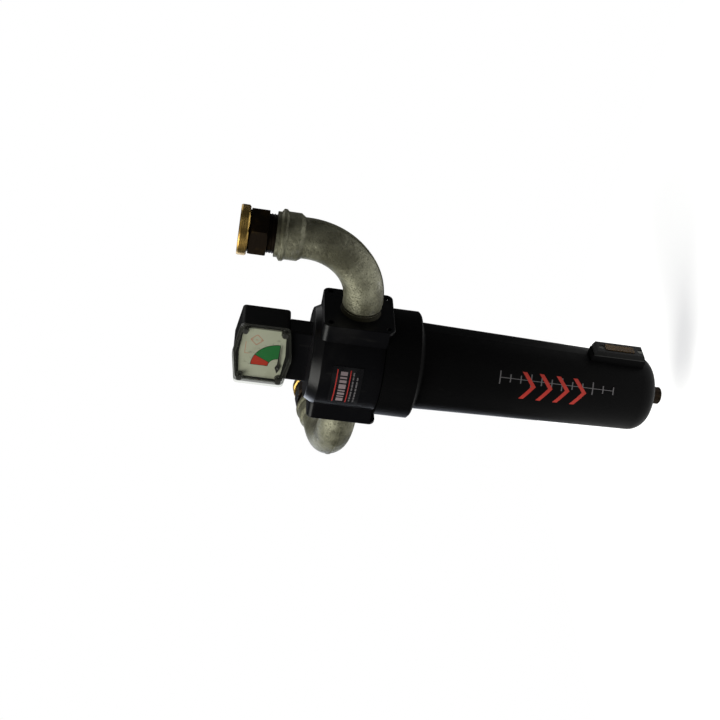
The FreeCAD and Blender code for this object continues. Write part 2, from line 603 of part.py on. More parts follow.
def make_gauge_case():
    """Neck block, case, clear cover with its screws, and the printed dial."""
    neck = plate([
        ("-neck_half_x", "-neck_half_y"), ("neck_half_x", "-neck_half_y"),
        ("neck_half_x", "neck_half_y"), ("-neck_half_x", "neck_half_y")],
        "gauge_z - gauge_half_z - head_top", ("0", "0", "head_top"), Z, "gap * 6")
    bore = cylinder("piston_radius + running_gap", "piston_bore_end * 2",
                    ("-piston_bore_end", "0", "piston_z"), X)
    ways = [bore]
    for sign in ("", "-"):
        ways.append(cylinder("duct_radius", "piston_z - head_top + 1", (f"{sign}duct_x", "0", "head_top - 1")))
        ways.append(cylinder("neck_screw_radius + seat_gap", "40",
                             (f"{sign}neck_screw_x", "0", "head_top - 1")))
        ways.append(cylinder("neck_screw_head + seat_gap", "40",
                             (f"{sign}neck_screw_x", "0", "gauge_z - gauge_half_z - 3")))
        ways.append(cylinder("duct_seal_radius + duct_seal_cord + seat_gap", "duct_seal_cord * 2 + seat_gap * 2 + 1",
                             (f"{sign}duct_x", "0", "head_top - 1")))
    node("gauge_neck", cut(neck, *ways))
    inset = "gauge_inset"
    case = facing(peaked(f"gauge_half_x - {inset}", f"gauge_half_z - {inset}", "gauge_peak"),
                  "gauge_back_y + gauge_front_y", "-gauge_front_y", "cover_corner - gauge_inset")
    flat_foot = box(("-gauge_half_x * 2", "gauge_half_x * 2"), ("-gauge_back_y * 2", "gauge_back_y * 2"),
                    ("0", "gauge_z - gauge_half_z + seat_gap"))
    recess = facing(peaked("dial_half_x + seat_gap", "dial_half_z + seat_gap", "gauge_peak / 2"),
                    "gauge_front_y - dial_y + dial_thickness + seat_gap", "-gauge_front_y")
    spindle_hole = cylinder("spindle_radius + running_gap", "16", ("-pivot_x", "-dial_y", "pivot_z"), Y)
    case_holes = [flat_foot, recess, spindle_hole]
    cover_holes, posts, screws = [], [], []
    for right, up in cover_screw_places():
        case_holes.append(cylinder("cover_screw_radius + seat_gap", "20", (right, "-gauge_front_y - 1", up), Y))
        cover_holes.append(cylinder("cover_screw_radius + seat_gap", "20", (right, "-cover_face_y - 1", up), Y))
        cover_holes.append(cylinder("cover_screw_head + seat_gap * 2", "2.2", (right, "-cover_face_y - 1", up), Y))
        posts.append(cylinder("cover_post_radius", "cover_face_y - gauge_front_y - seat_gap",
                              (right, "-cover_face_y", up), Y))
        screws.append(cylinder("cover_screw_radius", "cover_screw_length", (right, "-cover_face_y + 1.2", up), Y))
        screws.append(screw_head(right, up))
    node("gauge_case", cut(case, *case_holes))
    shell = facing(peaked("gauge_half_x", "gauge_half_z", "gauge_peak"),
                   "cover_face_y - gauge_front_y - seat_gap", "-cover_face_y", "cover_corner")
    inner = facing(peaked("gauge_half_x - cover_wall", "gauge_half_z - cover_wall", "gauge_peak - 0.4"),
                   "cover_face_y - gauge_front_y", "-cover_face_y + cover_wall", "cover_corner - cover_wall / 2")
    node("gauge_cover", cut(fuse(cut(shell, inner), *posts), *cover_holes))
    node("gauge_cover_screws", fuse(*screws))
    dial = facing(peaked("dial_half_x", "dial_half_z", "gauge_peak / 2"), "dial_thickness", "-dial_y")
    around = [cylinder("spindle_radius + gap", "4", ("-pivot_x", "-dial_y - 1", "pivot_z"), Y)]
    for right, up in cover_screw_places():
        around.append(cylinder("cover_post_radius", "4", (right, "-dial_y - 1", up), Y))
    node("gauge_dial", cut(dial, *around))


def screw_head(right, up):
    """A cheese head with a screwdriver slot."""
    head = cylinder("cover_screw_head", "1", (right, "-cover_face_y + 0.15", up), Y)
    slot = box((f"{right} - cover_screw_head", f"{right} + cover_screw_head"),
               ("-cover_face_y - 1", "-cover_face_y + 0.6"), (f"{up} - 0.35", f"{up} + 0.35"))
    return cut(head, slot)


def make_needle():
    """Needle with a lozenge hub, pointing along +X at rest, on its spindle."""
    half = "needle_half_width"
    blade = plate([
        ("-needle_tail", "0"), ("0", f"-{half}"), (f"{half} * 1.8", f"-{half} * 0.32"),
        ("needle_length", "-needle_thickness / 2"), ("needle_length", "needle_thickness / 2"),
        (f"{half} * 1.8", f"{half} * 0.32"), ("0", half)],
        "needle_thickness", ("0", "0", "0"), Z)
    blade.Placement = FreeCAD.Placement(Vector(0, 0, 0), FreeCAD.Rotation(X, 90))
    bind(blade, **{"Placement.Base.x": "-pivot_x", "Placement.Base.y": "-needle_y + needle_thickness",
                   "Placement.Base.z": "pivot_z"})
    eye = cylinder("spindle_radius + seat_gap", "3", ("-pivot_x", "-needle_y - 1", "pivot_z"), Y)
    node("gauge_needle", cut(blade, eye))
    pin = cylinder("spindle_radius", "needle_y - dial_y + 12", ("-pivot_x", "-needle_y - 0.6", "pivot_z"), Y)
    node("gauge_spindle", pin)


def make_piston():
    """Pressure-difference piston with its magnet, pushed back by a spring."""
    start = "-piston_bore_end + 0.4"
    node("dp_piston", turned([
        ("magnet_radius + seat_gap", "piston_length - magnet_length"),
        ("magnet_radius + seat_gap", "piston_length"), ("piston_radius", "piston_length"),
        ("piston_radius", "0"), ("0", "0"), ("0", "piston_length - magnet_length")],
        (start, "0", "piston_z"), X))
    node("dp_magnet", cylinder("magnet_radius", "magnet_length - seat_gap",
                               (f"{start} + piston_length - magnet_length + seat_gap", "0", "piston_z"), X))
    coils = []
    for number in range(5):
        coils.append(ring("spring_radius", "spring_wire",
                          (f"{start} + piston_length + spring_wire * 1.2 + {number} * "
                           "(piston_bore_end * 2 - 0.8 - piston_length - spring_wire * 2.4) / 4",
                           "0", "piston_z"), X))
    node("dp_spring", fuse(*coils))


def make_neck_fixings():
    screws, seals = [], []
    for sign in ("", "-"):
        screws.append(cylinder("neck_screw_radius - seat_gap", "gauge_z - gauge_half_z - 1 - neck_screw_end",
                               (f"{sign}neck_screw_x", "0", "neck_screw_end + 0.5")))
        screws.append(cylinder("neck_screw_head", "2.5",
                               (f"{sign}neck_screw_x", "0", "gauge_z - gauge_half_z - 2.9")))
        seals.append(ring("duct_seal_radius", "duct_seal_cord",
                          (f"{sign}duct_x", "0", "head_top + duct_seal_cord + seat_gap / 2")))
    node("gauge_neck_screws", fuse(*screws))
    node("gauge_duct_seals", fuse(*seals))


make_head()
make_label()
for letter, side in (("a", 1), ("b", -1)):
    make_elbow(letter, side)
    make_adaptor(letter, side)
    make_tape(letter, X * side)
make_bowl()
make_level_glass()
make_element()
make_drain()
make_gauge_case()
make_needle()
make_piston()
make_neck_fixings()
doc.recompute()

for thing in doc.Objects:
    if "Invalid" in thing.State or "Error" in thing.State:
        raise RuntimeError(f"{thing.Name} ({thing.Label}) did not rebuild: {thing.State}")
for piece in NODES:
    if piece.Shape.isNull() or not piece.Shape.isValid() or not piece.Shape.Solids:
        raise RuntimeError(f"{piece.Label} is not a valid solid")

os.makedirs("parts", exist_ok=True)
for piece in NODES:
    piece.Shape.exportStep(f"parts/{piece.Label}.step")
    print(piece.Label, len(piece.Shape.Solids), round(piece.Shape.Volume, 1))
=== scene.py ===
"""Looks for an inline compressed-air filter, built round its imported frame.

Black enamelled head and bowl, galvanised elbows with brass adaptors, a printed label, a clear-fronted
dial, an amber level glass, exposed pipe threads and the pleated element inside.
"""
import json
import math

import bmesh
import bpy
import numpy as np
from mathutils import Matrix, Vector


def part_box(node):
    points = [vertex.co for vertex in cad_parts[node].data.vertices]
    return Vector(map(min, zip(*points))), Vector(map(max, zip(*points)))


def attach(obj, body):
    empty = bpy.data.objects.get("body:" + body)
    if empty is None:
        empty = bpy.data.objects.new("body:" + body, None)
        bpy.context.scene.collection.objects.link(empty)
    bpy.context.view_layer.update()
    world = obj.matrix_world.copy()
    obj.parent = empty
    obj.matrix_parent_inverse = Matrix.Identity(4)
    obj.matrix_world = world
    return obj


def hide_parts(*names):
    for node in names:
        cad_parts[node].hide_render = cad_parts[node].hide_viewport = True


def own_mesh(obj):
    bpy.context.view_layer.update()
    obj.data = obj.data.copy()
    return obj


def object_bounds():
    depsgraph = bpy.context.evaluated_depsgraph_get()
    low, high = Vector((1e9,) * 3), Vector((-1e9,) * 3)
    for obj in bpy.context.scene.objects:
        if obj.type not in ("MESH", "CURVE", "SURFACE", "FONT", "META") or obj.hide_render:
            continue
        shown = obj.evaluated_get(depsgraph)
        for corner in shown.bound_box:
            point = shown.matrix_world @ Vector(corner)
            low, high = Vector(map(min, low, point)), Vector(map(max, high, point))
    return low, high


bl_info = {
    "name": "Compressed air filter looks",
    "version": (1, 0, 0),
    "blender": (4, 5, 0),
    "location": "View3D > Sidebar > Filter",
    "description": "Finishes, prints, threads and inner parts for a compressed air filter",
    "category": "Add Mesh",
}

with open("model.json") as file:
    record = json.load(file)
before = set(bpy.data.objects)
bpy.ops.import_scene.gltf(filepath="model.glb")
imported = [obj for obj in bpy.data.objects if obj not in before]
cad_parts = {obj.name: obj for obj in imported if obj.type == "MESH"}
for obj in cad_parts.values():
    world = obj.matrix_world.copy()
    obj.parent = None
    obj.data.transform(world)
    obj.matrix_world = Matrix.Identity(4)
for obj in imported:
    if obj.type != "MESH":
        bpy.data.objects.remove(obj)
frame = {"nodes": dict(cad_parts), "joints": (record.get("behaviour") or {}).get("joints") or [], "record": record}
CAD_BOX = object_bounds()
MM = 0.001
TAU = 2 * math.pi
UNDER_INK = (0.02, 0.02, 0.02)
# ports' and adaptors' bare threads: where they start and end, crest radius and inner radius. The
# first is measured along the port axis, the second from the adaptor's mount, which is its mouth.
MALE_THREAD = (52.9 * MM, 59.2 * MM, 17.25 * MM, 16.4 * MM)
ADAPTOR_THREAD = (-22.9 * MM, -16.2 * MM, 16.75 * MM, 15.9 * MM)
THREAD_TURNS, THREAD_ROWS = 96, 66


# ---- meshes from arrays -----------------------------------------------------------------------

def mesh_piece(name, points, faces, material, smooth=True):
    """A new object at the origin from rows of points and one array of four-sided faces. A face that
    names a point twice is written as a triangle."""
    mesh = bpy.data.meshes.new(name)
    mesh.from_pydata(np.asarray(points, float).tolist(), [],
                     [list(dict.fromkeys(face)) for face in np.asarray(faces, int).tolist()])
    mesh.polygons.foreach_set("use_smooth", np.full(len(mesh.polygons), smooth))
    mesh.validate()
    mesh.materials.append(material)
    piece = bpy.data.objects.new(name, mesh)
    bpy.context.scene.collection.objects.link(piece)
    return piece


def grid_faces(rows, columns, closed_rows, closed_columns):
    """Four-sided faces of a grid of points numbered row by row; closed means the last row or column
    joins the first."""
    index = np.arange(rows * columns).reshape(rows, columns)
    if closed_rows:
        index = np.vstack([index, index[:1]])
    if closed_columns:
        index = np.hstack([index, index[:, :1]])
    return np.stack([index[:-1, :-1], index[:-1, 1:], index[1:, 1:], index[1:, :-1]], -1).reshape(-1, 4)


def joined(parts):
    """Several (points, faces) as one, with the faces of each counted on."""
    points, faces, count = [], [], 0
    for part_points, part_faces in parts:
        points.append(part_points)
        faces.append(part_faces + count)
        count += len(part_points)
    return np.vstack(points), np.vstack(faces)


def slab(outline, wrap, thickness, cells):
    """A thin closed plate. Outline is a function of (s, t) in 0..1 that gives flat places (u, v), wrap
    turns (u, v, height) into points in space, and the plate is the grid at height 0 and at the
    thickness, joined round its rim."""
    columns, rows = cells
    t, s = np.meshgrid(np.linspace(0, 1, rows + 1), np.linspace(0, 1, columns + 1), indexing="ij")
    u, v = outline(s, t)
    top = wrap(u, v, np.full_like(u, thickness)).reshape(-1, 3)
    bottom = wrap(u, v, np.zeros_like(u)).reshape(-1, 3)
    total = len(top)
    face = grid_faces(rows + 1, columns + 1, False, False)
    index = np.arange(total).reshape(rows + 1, columns + 1)
    rim = np.concatenate([index[0], index[1:, -1], index[-1, -2::-1], index[-2:0:-1, 0]])
    around = np.roll(rim, -1)
    side = np.stack([rim, rim + total, around + total, around], -1)
    return np.vstack([top, bottom]), np.vstack([face, face[:, ::-1] + total, side])


def swept(profile, path, normals, binormals):
    """A closed profile of (a, b) carried along an open path: point = path + a * normal + b * binormal.
    Each end is closed with a fan to the profile's middle."""
    a, b = np.asarray(profile, float).T
    points = path[:, None] + a[None, :, None] * normals[:, None] + b[None, :, None] * binormals[:, None]
    rows, columns = points.shape[:2]
    points = points.reshape(-1, 3)
    faces = [grid_faces(rows, columns, False, True)]
    for row, flip in ((0, False), (rows - 1, True)):
        ring = np.arange(columns) + row * columns
        middle = np.full(columns, len(points))
        points = np.vstack([points, points[ring].mean(0)])
        fan = np.stack([middle, middle, ring, np.roll(ring, -1)], -1)
        faces.append(fan if flip else fan[:, ::-1])
    return points, np.vstack(faces)


def facing_out(points, faces):
    """The faces, all turned round if the closed surface encloses a negative volume."""
    a, b, c, d = (points[faces[:, column]] for column in range(4))
    volume = (a * (np.cross(b, c) + np.cross(c, d))).sum()
    return faces if volume > 0 else faces[:, ::-1]


def sleeve(outer, inner, low, high, turns, rows):
    """A closed sleeve about +Z: outer is a function of (angle, height) that gives the radius, inner the
    same. Points are (radius cos angle, radius sin angle, height) on the outer wall going up and on
    the inner wall coming down, as one closed ring of rows."""
    angle = np.linspace(0, TAU, turns, endpoint=False)
    height = np.linspace(low, high, rows)
    z = np.concatenate([height, height[::-1]])[:, None] + 0 * angle
    way = np.broadcast_to(angle, z.shape)
    radius = np.vstack([outer(way[:rows], z[:rows]), inner(way[rows:], z[rows:])])
    points = np.stack([radius * np.cos(way), radius * np.sin(way), z], -1).reshape(-1, 3)
    return points, grid_faces(2 * rows, turns, True, True)


def thread(radius, depth, pitch):
    """Radius of a single-start thread: it falls and rises once a pitch with flattened crests, as a
    clipped triangle wave of height / pitch - angle / turn."""
    def at(angle, height):
        wave = np.abs(((height / pitch - angle / TAU) % 1.0) * 2 - 1)
        return radius - depth + depth * np.clip(wave * 1.3 - 0.15, 0, 1)
    return at


def along(points, origin, axis):
    """Points about +Z moved so that +Z lies along the axis and the foot is at the origin."""
    turn = np.array(Vector((0, 0, 1)).rotation_difference(Vector(axis)).to_matrix())
    return points @ turn.T + np.asarray(origin, float)


# ---- shader maths -----------------------------------------------------------------------------

class Wire:
    """One socket of a node tree; arithmetic on it adds Math nodes."""

    def __init__(self, tree, socket):
        self.tree, self.socket = tree, socket

    def node(self, kind, output=0, settings=None, **inputs):
        """Any node: its type, its settings, set first, then the values or links of its sockets."""
        made = self.tree.nodes.new(kind)
        for key, setting in (settings or {}).items():
            setattr(made, key, setting)
        for key, feed in inputs.items():
            key = key.replace("_", " ")
            socket = made.inputs[int(key)] if key.isdigit() else made.inputs[key]
            self.feed(socket, feed)
        return Wire(self.tree, made.outputs[output])

    def feed(self, socket, feed):
        if isinstance(feed, Wire):
            self.tree.links.new(feed.socket, socket)
        else:
            socket.default_value = feed

    def maths(self, operation, first, second=None, third=None):
        made = self.tree.nodes.new("ShaderNodeMath")
        made.operation = operation
        for socket, feed in zip(made.inputs, (first, second, third)):
            if feed is not None:
                self.feed(socket, feed)
        return Wire(self.tree, made.outputs[0])

    def __add__(self, other):
        return self.maths("ADD", self, other)

    def __sub__(self, other):
        return self.maths("SUBTRACT", self, other)

    def __rsub__(self, other):
        return self.maths("SUBTRACT", other, self)

    def __mul__(self, other):
        return self.maths("MULTIPLY", self, other)

    def __lt__(self, other):
        return self.maths("LESS_THAN", self, other)

    __radd__, __rmul__ = __add__, __mul__

    def call(self, operation, second=None, third=None):
        return self.maths(operation, self, second, third)

    def between(self, low, high):
        """0 below low, 1 above high and a smooth rise between."""
        return self.node("ShaderNodeMapRange", settings={"interpolation_type": "SMOOTHSTEP"},
                         Value=self, From_Min=low, From_Max=high)

    def mix(self, first, second):
        """The colour that goes from first to second as this goes from 0 to 1."""
        made = self.tree.nodes.new("ShaderNodeMix")
        made.data_type = "RGBA"
        colours = [socket for socket in made.inputs if socket.type == "RGBA"]
        self.feed(made.inputs[0], self)
        for socket, colour in zip(colours, (first, second)):
            self.feed(socket, colour if isinstance(colour, Wire) else tuple(colour)[:3] + (1.0,))
        return Wire(self.tree, next(out for out in made.outputs if out.type == "RGBA"))


class Paint:
    """A material under construction: object coordinates, the shader and its constant sockets."""

    def __init__(self, name, **constants):
        self.material = bpy.data.materials.new(name)
        self.material.use_nodes = True
        self.tree = self.material.node_tree
        self.shader = next(n for n in self.tree.nodes if n.type == "BSDF_PRINCIPLED")
        self.start = Wire(self.tree, None)
        self.place = self.start.node("ShaderNodeTexCoord", output="Object")
        split = self.tree.nodes.new("ShaderNodeSeparateXYZ")
        self.tree.links.new(self.place.socket, split.inputs[0])
        self.x, self.y, self.z = (Wire(self.tree, out) for out in split.outputs)
        self.set(**constants)

    def set(self, **inputs):
        for key, feed in inputs.items():
            self.start.feed(self.shader.inputs[key.replace("_", " ")], feed)
        return self

    def noise(self, scale, detail=4.0, roughness=0.55, place=None):
        return self.start.node("ShaderNodeTexNoise", Vector=place or self.place, Scale=scale,
                               Detail=detail, Roughness=roughness)

    def cells(self, scale):
        """Distance to the middle of the nearest cell."""
        return self.start.node("ShaderNodeTexVoronoi", output="Distance", Vector=self.place, Scale=scale)

    def stretched(self, x, y, z):
        """Object coordinates with each axis multiplied."""
        return self.start.node("ShaderNodeMapping", Vector=self.place, Scale=(x, y, z))

    def bump(self, height, distance, strength=1.0):
        self.set(Normal=self.start.node("ShaderNodeBump", Height=height, Distance=distance,
                                        Strength=strength))
        return self


def enamel(name, base, dull, roughness, orange_peel, specular):
    """Enamel on a casting: slight orange peel, faint dust, and scuffs where it has been handled."""
    paint = Paint(name, Specular_IOR_Level=specular)
    dust = paint.noise(28.0, 6.0).between(0.5, 0.78)
    scuff = paint.noise(130.0, 3.0, 0.7, paint.stretched(1.0, 1.0, 0.25)).between(0.64, 0.72)
    grime = paint.noise(9.0, 3.0).between(0.35, 0.7)
    paint.set(Base_Color=(dust * 0.5 + scuff * 0.35).mix(base, dull),
              Roughness=roughness + dust * 0.10 + grime * 0.06 + scuff * 0.08)
    peel = paint.noise(420.0, 2.0) * orange_peel + paint.noise(38.0, 3.0) * (orange_peel * 0.8)
    return paint.bump(peel, 0.0004, 0.35)


def galvanised():
    """Dull zinc over malleable iron: cloudy olive greys, brighter rubbed places and dark pits."""
    paint = Paint("galvanised iron", Specular_IOR_Level=0.5)
    cloud = paint.noise(34.0, 7.0, 0.62).between(0.34, 0.68)
    fleck = paint.noise(210.0, 4.0, 0.7).between(0.45, 0.75)
    bright = paint.noise(75.0, 5.0, 0.65).between(0.6, 0.74)
    pit = paint.noise(620.0, 2.0).between(0.30, 0.42)
    base = cloud.mix((0.090, 0.086, 0.054), (0.300, 0.295, 0.210))
    base = (fleck * 0.5).mix(base, (0.155, 0.150, 0.090))
    base = (bright * 0.5).mix(base, (0.36, 0.36, 0.31))
    base = ((1 - pit) * 0.35).mix(base, (0.05, 0.05, 0.03))
    paint.set(Base_Color=base, Roughness=0.50 - bright * 0.16 + fleck * 0.08,
              Metallic=0.55 + bright * 0.35)
    skin = paint.noise(260.0, 5.0, 0.6) + pit * 0.5 + cloud * 0.4
    return paint.bump(skin, 0.0012, 0.75)


def brass(name, clean, tarnish, cover, roughness, lines):
    """Turned brass: tarnish gathers in clouds, fine tool marks run round the axis."""
    paint = Paint(name, Metallic=1.0)
    cloud = paint.noise(46.0, 6.0, 0.6).between(0.5 - cover * 0.5, 0.86 - cover * 0.5)
    speck = paint.noise(420.0, 3.0).between(0.55, 0.72)
    paint.set(Base_Color=(speck * 0.25).mix(cloud.mix(clean, tarnish), tarnish),
              Roughness=roughness + cloud * 0.16 + speck * 0.1)
    marks = paint.noise(1.0, 2.0, 0.6, paint.stretched(30.0, 30.0, 2600.0)) * lines
    return paint.bump(marks + paint.noise(190.0, 3.0) * 0.3, 0.0002, 0.5)


def moulded(name, base, dull, roughness, grain, specular=0.4):
    """Moulded plastic or rubber with a fine texture and a little dust."""
    paint = Paint(name, Specular_IOR_Level=specular)
    dust = paint.noise(60.0, 5.0).between(0.48, 0.8)
    paint.set(Base_Color=(dust * 0.6).mix(base, dull), Roughness=roughness + dust * 0.12)
    return paint.bump(paint.noise(grain, 2.0) + paint.noise(55.0, 2.0) * 0.3, 0.0003, 0.4)


def steel(name, base, dark, roughness):
    """Plated steel with tool marks and a few dull spots."""
    paint = Paint(name, Metallic=1.0)
    spot = paint.noise(150.0, 4.0).between(0.52, 0.74)
    paint.set(Base_Color=spot.mix(base, dark), Roughness=roughness + spot * 0.2)
    return paint.bump(paint.noise(600.0, 2.0), 0.0001, 0.4)


def printed(name, ink, wear):
    """Printed ink, worn thin in places."""
    paint = Paint(name, Roughness=0.5, Specular_IOR_Level=0.3)
    thin = paint.noise(240.0, 4.0, 0.7).between(0.58, 0.8)
    paint.set(Base_Color=(thin * wear).mix(ink, UNDER_INK))
    return paint.bump(paint.noise(900.0, 2.0), 0.00005, 0.3)


def paper(name):
    """The dial card: warm off-white, a little yellowed and stained in clouds."""
    paint = Paint(name, Specular_IOR_Level=0.25)
    stain = paint.noise(58.0, 5.0, 0.6).between(0.46, 0.82)
    fibre = paint.noise(900.0, 2.0)
    paint.set(Base_Color=(stain * 0.55).mix((0.60, 0.60, 0.49), (0.43, 0.42, 0.31)),
              Roughness=0.55 + fibre * 0.15)
    return paint.bump(fibre, 0.00005, 0.3)


def clear(name, tint, haze, roughness, front, skirt):
    """A clear moulding: mostly transparent, with a skin that shines towards grazing angles. The haze
    is how much of the body is seen face on, and the skirt how much is seen behind the front face."""
    paint = Paint(name, Base_Color=tuple(tint) + (1.0,), Roughness=roughness, Specular_IOR_Level=0.5)
    behind = (paint.y - front).between(2.7 * MM, 3.6 * MM)
    rim = paint.start.node("ShaderNodeLayerWeight", output="Facing", Blend=0.35)
    scratch = paint.noise(1.0, 3.0, 0.7, paint.stretched(160.0, 160.0, 900.0)).between(0.64, 0.7)
    see_through = paint.start.node("ShaderNodeBsdfTransparent", Color=(0.97, 0.98, 0.96, 1.0))
    body = Wire(paint.tree, paint.shader.outputs[0])
    cover = (rim.call("POWER", 2.2) * 0.75 + scratch * 0.05 + behind * skirt + haze).call("MINIMUM", 0.97)
    mixed = paint.start.node("ShaderNodeMixShader", Fac=cover)
    made = mixed.socket.node
    paint.tree.links.new(see_through.socket, made.inputs[1])
    paint.tree.links.new(body.socket, made.inputs[2])
    output = next(n for n in paint.tree.nodes if n.type == "OUTPUT_MATERIAL")
    paint.tree.links.new(mixed.socket, output.inputs["Surface"])
    return paint


def amber_glass():
    """Deep amber moulding: dark and dirty inside, shiny outside, a little see-through."""
    paint = Paint("amber glass", Specular_IOR_Level=0.15)
    dirt = paint.noise(70.0, 4.0).between(0.4, 0.7)
    paint.set(Base_Color=dirt.mix((0.080, 0.040, 0.005), (0.030, 0.014, 0.002)),
              Alpha=0.9 - (1 - dirt) * 0.12, Roughness=0.14 + dirt * 0.2)
    return paint.bump(paint.noise(120.0, 2.0), 0.0002, 0.3)


def woven(name, base, dark, scale):
    """Fibre or foam: a cell texture with soft pores."""
    paint = Paint(name, Roughness=0.95, Specular_IOR_Level=0.1)
    pore = paint.cells(scale).between(0.1, 0.55)
    paint.set(Base_Color=(pore * 0.7).mix(base, dark))
    return paint.bump(1 - pore, 0.0006, 0.7)


def perforated(name):
    """Thin steel sheet with a regular pattern of round holes."""
    paint = steel(name, (0.55, 0.55, 0.53), (0.32, 0.32, 0.31), 0.3)
    angle = paint.y.call("ARCTAN2", paint.x)
    row = paint.z * (1 / (3.0 * MM))
    column = angle * (36 / TAU) + row.call("FLOOR") * 0.5
    across, up = column.call("FRACT") - 0.5, row.call("FRACT") - 0.5
    hole = (across * across + up * up) < 0.09
    return paint.set(Alpha=1 - hole)


FINISHES = {
    "black_casting": lambda: enamel("black casting enamel", (0.0030, 0.0030, 0.0038),
                                    (0.012, 0.0115, 0.011), 0.27, 0.5, 0.17),
    "black_bowl": lambda: enamel("black bowl enamel", (0.0022, 0.0022, 0.0024),
                                 (0.0045, 0.0043, 0.0041), 0.46, 0.5, 0.05),
    "label_foil": lambda: moulded("label foil", (0.006, 0.006, 0.007), (0.015, 0.015, 0.017), 0.24, 700.0),
    "galvanised": galvanised,
    "dark_brass": lambda: brass("dark brass", (0.10, 0.062, 0.020), (0.018, 0.013, 0.009), 0.75, 0.36, 0.6),
    "bright_brass": lambda: brass("bright brass", (0.78, 0.52, 0.15), (0.34, 0.21, 0.06), 0.30, 0.24, 1.0),
    "white_tape": lambda: moulded("thread tape", (0.020, 0.018, 0.009), (0.050, 0.045, 0.024),
                                  0.8, 260.0, 0.2),
    "black_rubber": lambda: moulded("black rubber", (0.012, 0.012, 0.012), (0.03, 0.03, 0.03), 0.6, 500.0),
    "amber": amber_glass,
    "black_plastic": lambda: moulded("black plastic", (0.0050, 0.0050, 0.0050),
                                     (0.010, 0.010, 0.009), 0.42, 620.0, 0.10),
    "zinc_steel": lambda: steel("zinc-plated steel", (0.10, 0.10, 0.092), (0.030, 0.030, 0.027), 0.42),
    "stainless": lambda: steel("stainless steel", (0.55, 0.55, 0.53), (0.32, 0.32, 0.31), 0.28),
    "media": lambda: woven("pleated glass fibre", (0.75, 0.73, 0.66), (0.48, 0.46, 0.40), 900.0),
    "foam": lambda: woven("yellow foam", (0.58, 0.52, 0.14), (0.24, 0.21, 0.05), 700.0),
    "clear_plastic": lambda: clear("clear plastic", (0.10, 0.10, 0.09), 0.05, 0.12,
                                   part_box("gauge_cover")[0].y, 0.62),
    "dial_print": lambda: paper("dial card"),
    "needle_black": lambda: moulded("needle black", (0.010, 0.010, 0.009), (0.03, 0.03, 0.03), 0.5, 800.0),
    "white_plastic": lambda: moulded("white plastic", (0.66, 0.66, 0.63), (0.5, 0.49, 0.45), 0.4, 500.0),
    "magnet": lambda: steel("nickel plating", (0.42, 0.41, 0.38), (0.2, 0.2, 0.19), 0.22),
}
INKS = {
    "dial_green": ((0.008, 0.200, 0.040), 0.06),
    "dial_red": ((0.60, 0.030, 0.010), 0.06),
    "dial_line_red": ((0.66, 0.20, 0.13), 0.15),
    "dial_black": ((0.016, 0.018, 0.014), 0.1),
    "dial_grey": ((0.22, 0.22, 0.17), 0.2),
    "label_red": ((0.42, 0.030, 0.026), 0.3),
    "label_pale": ((0.24, 0.19, 0.20), 0.45),
    "label_grey": ((0.13, 0.12, 0.125), 0.5),
    "bowl_red": ((0.42, 0.028, 0.018), 0.25),
    "bowl_grey": ((0.105, 0.10, 0.105), 0.5),
}
_made = {}


def finish(slot):
    """The material of a slot or an ink, made once."""
    if slot not in _made:
        if slot in FINISHES:
            _made[slot] = FINISHES[slot]().material
        else:
            ink, wear = INKS[slot]
            _made[slot] = printed(slot.replace("_", " ") + " ink", ink, wear).material
    return _made[slot]


def settle(piece, body, replaces=()):
    """Put a new piece on its body, and hide the frame's pieces that it stands for."""
    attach(piece, body)
    if replaces:
        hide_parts(*replaces)
    return piece


# ---- sizes, angles and counts a user would change ----------------------------------------------

def length(name, description, default_mm):
    return bpy.props.FloatProperty(name=name, description=description, default=default_mm * MM,
                                   min=0.0, unit="LENGTH", precision=5)


def turn(name, description, default_degrees):
    return bpy.props.FloatProperty(name=name, description=description,
                                   default=math.radians(default_degrees), unit="ROTATION")


def share(name, description, default, high=1.0):
    return bpy.props.FloatProperty(name=name, description=description, default=default, min=0.0,
                                   max=high, subtype="FACTOR")


class FILTER_PG_stage(bpy.types.PropertyGroup):
    azimuth: turn("Azimuth", "Side that the camera looks from, 0 being the dial's side", 36.84)
    elevation: turn("Elevation", "Height of the camera above the horizon", 7.24)
    roll: turn("Roll", "Turn of the camera about its line of sight", 82.85)
    distance: length("Distance", "From the camera to the point it aims at", 1050.0)
    aim: bpy.props.FloatVectorProperty(name="Aim", description="Point that the camera aims at",
                                       default=(0.0044, -0.0087, -0.0077), subtype="TRANSLATION")
    lens: bpy.props.FloatProperty(name="Lens", description="Focal length on a 36 mm sensor", default=58.26,
                                  min=1.0, unit="CAMERA")
    floor_side: length("Floor side", "Side of the square floor", 700.0)
    floor_gap: length("Floor gap", "Room under the drain knob, enough for the bowl to be unscrewed", 25.0)
    sky: share("Sky", "How strongly the surroundings light the filter", 0.04, 5.0)


class FILTER_PG_prints(bpy.types.PropertyGroup):
    film: length("Ink thickness", "How proud a print stands of its surface", 0.06)
    green_from: turn("Green from", "Angle at which the green sector starts", 0.0)
    green_to: turn("Green to", "Angle at which green gives way to red", 63.0)
    red_to: turn("Red to", "Angle at which the red sector ends", 90.0)
    sector_inner: length("Sector inner", "Inner radius of the coloured sector", 9.0)
    sector_outer: length("Sector outer", "Outer radius of the coloured sector", 24.4)


class FILTER_PG_threads(bpy.types.PropertyGroup):
    pitch: length("Pitch", "Distance between thread crests", 2.309)
    depth: length("Depth", "Height of the thread's crests over its roots", 1.1)


class FILTER_PG_element(bpy.types.PropertyGroup):
    pleats: bpy.props.IntProperty(name="Pleats", description="How many pleats the medium has",
                                  default=36, min=8, max=90)
    coils: bpy.props.IntProperty(name="Coils", description="Turns of the gauge's spring",
                                 default=9, min=3, max=30)


# ---- operators ---------------------------------------------------------------------------------

